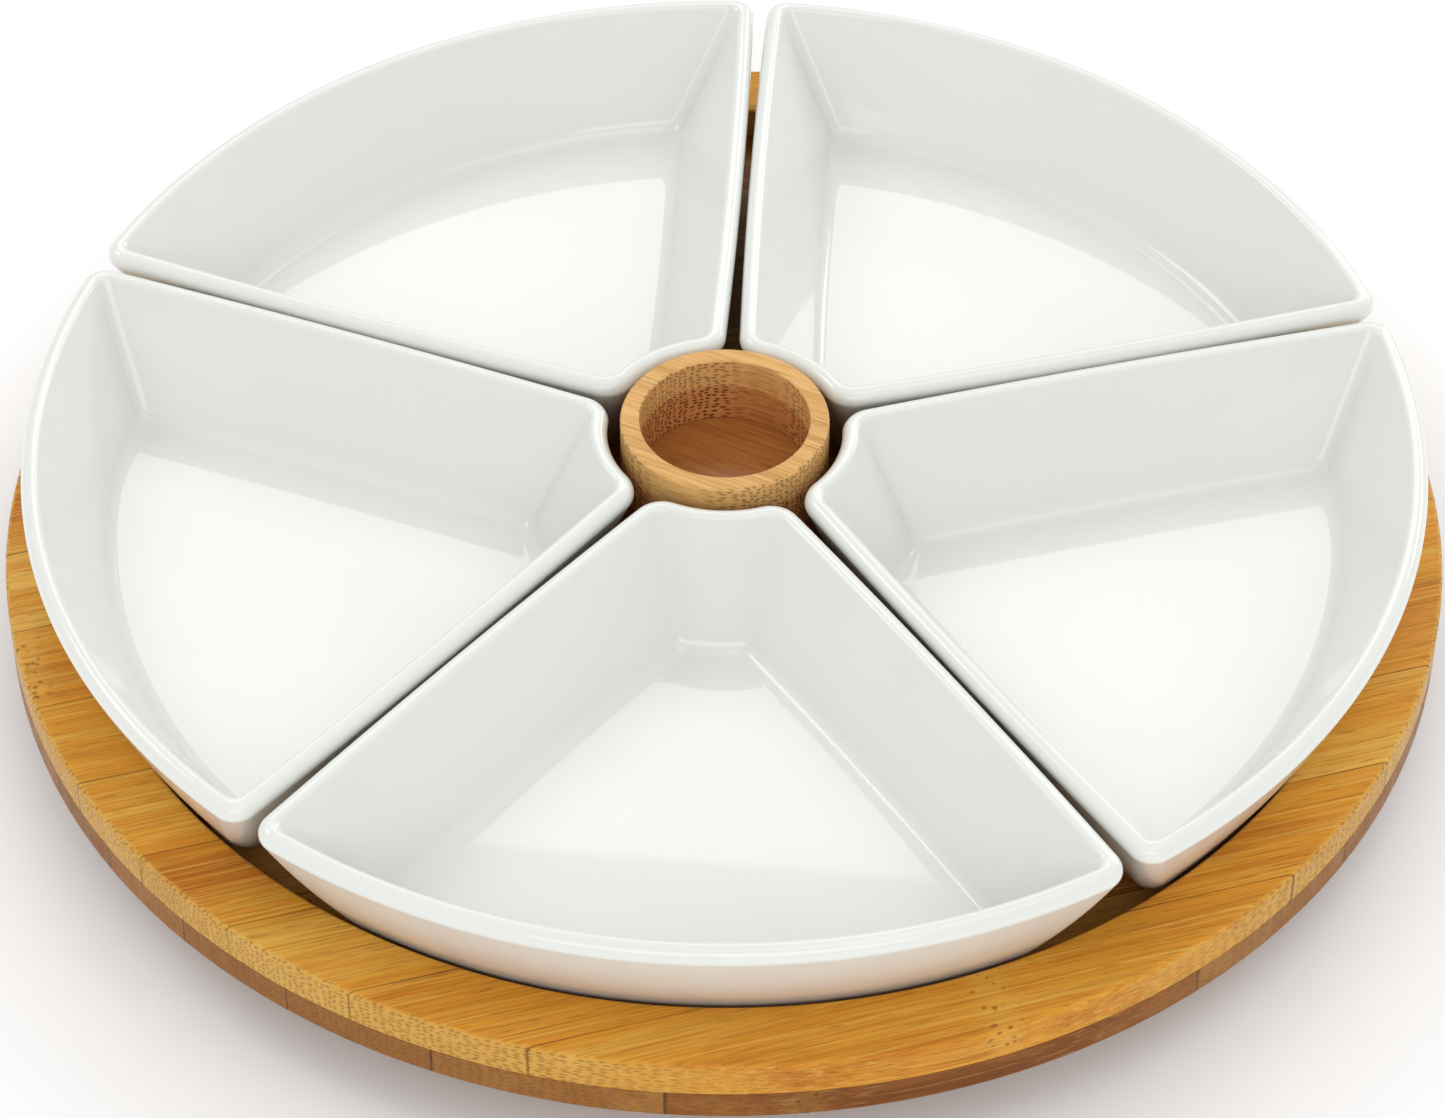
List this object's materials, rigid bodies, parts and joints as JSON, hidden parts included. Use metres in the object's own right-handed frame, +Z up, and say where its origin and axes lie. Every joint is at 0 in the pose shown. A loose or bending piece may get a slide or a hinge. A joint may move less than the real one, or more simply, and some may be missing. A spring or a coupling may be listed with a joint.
{
  "type": "chip and dip server",
  "caption": "Round laminated bamboo tray on a ball bearing turntable, with loose wedge-shaped white porcelain dishes round a small bamboo cup.",
  "frame": {"origin": "on the table, under the tray's axis, at the bottom centre of the whole object", "axes": "+Z up along the tray's axis; -Y along the centre line of dish_1; +X to the right seen from dish_1"},
  "size_m": [0.343, 0.343, 0.0665],
  "materials": {
    "bamboo_rim": "clear satin varnish over laminated bamboo strips",
    "bamboo_floor": "clear satin varnish over laminated bamboo strips",
    "bamboo_cup": "clear satin varnish over turned bamboo",
    "bamboo_base": "clear satin varnish over laminated bamboo strips",
    "porcelain": "clear gloss glaze over white porcelain",
    "plate_steel": "zinc plated, pressed steel",
    "zinc": "zinc plated",
    "ball_steel": "polished bearing steel",
    "nylon": "natural moulded nylon",
    "foot_rubber": "matt black rubber"
  },
  "bodies": {
    "base": {"base_disc": "bamboo_base", "bearing_lower_plate": "plate_steel", "lower_plate_screws": "zinc", "bearing_rivet": "zinc", "foot_1": "foot_rubber", "foot_2": "foot_rubber", "foot_3": "foot_rubber", "foot_4": "foot_rubber"},
    "tray": {"tray_floor_ply": "bamboo_floor", "tray_rim_ply": "bamboo_rim", "cup_block": "bamboo_cup", "cup_lower_ring": "bamboo_cup", "cup_upper_ring": "bamboo_cup", "cup_screw": "zinc", "bearing_upper_plate": "plate_steel", "upper_plate_screws": "zinc"},
    "ball_ring": {"ball_cage": "nylon", "bearing_balls": "ball_steel"},
    "dish_1_body": {"dish_1": "porcelain"},
    "dish_2_body": {"dish_2": "porcelain"},
    "dish_3_body": {"dish_3": "porcelain"},
    "dish_4_body": {"dish_4": "porcelain"},
    "dish_5_body": {"dish_5": "porcelain"}
  },
  "joints": [
    {"name": "tray_spin", "type": "hinge", "parent": "base", "child": "tray", "pos_m": [0, 0, 0.0226], "axis": [0, 0, 1], "continuous": true},
    {"name": "cage_spin", "type": "hinge", "parent": "base", "child": "ball_ring", "pos_m": [0, 0, 0.0146], "axis": [0, 0, 1], "continuous": true},
    {"name": "dish_1_lift", "type": "slide", "parent": "tray", "child": "dish_1_body", "axis": [0, 0, 1], "range_m": [0, 0.06]},
    {"name": "dish_2_lift", "type": "slide", "parent": "tray", "child": "dish_2_body", "axis": [0, 0, 1], "range_m": [0, 0.06]},
    {"name": "dish_3_lift", "type": "slide", "parent": "tray", "child": "dish_3_body", "axis": [0, 0, 1], "range_m": [0, 0.06]},
    {"name": "dish_4_lift", "type": "slide", "parent": "tray", "child": "dish_4_body", "axis": [0, 0, 1], "range_m": [0, 0.06]},
    {"name": "dish_5_lift", "type": "slide", "parent": "tray", "child": "dish_5_body", "axis": [0, 0, 1], "range_m": [0, 0.06]}
  ],
  "couplings": [
    {"joint": "cage_spin", "follows": "tray_spin", "ratio": 0.5}
  ]
}
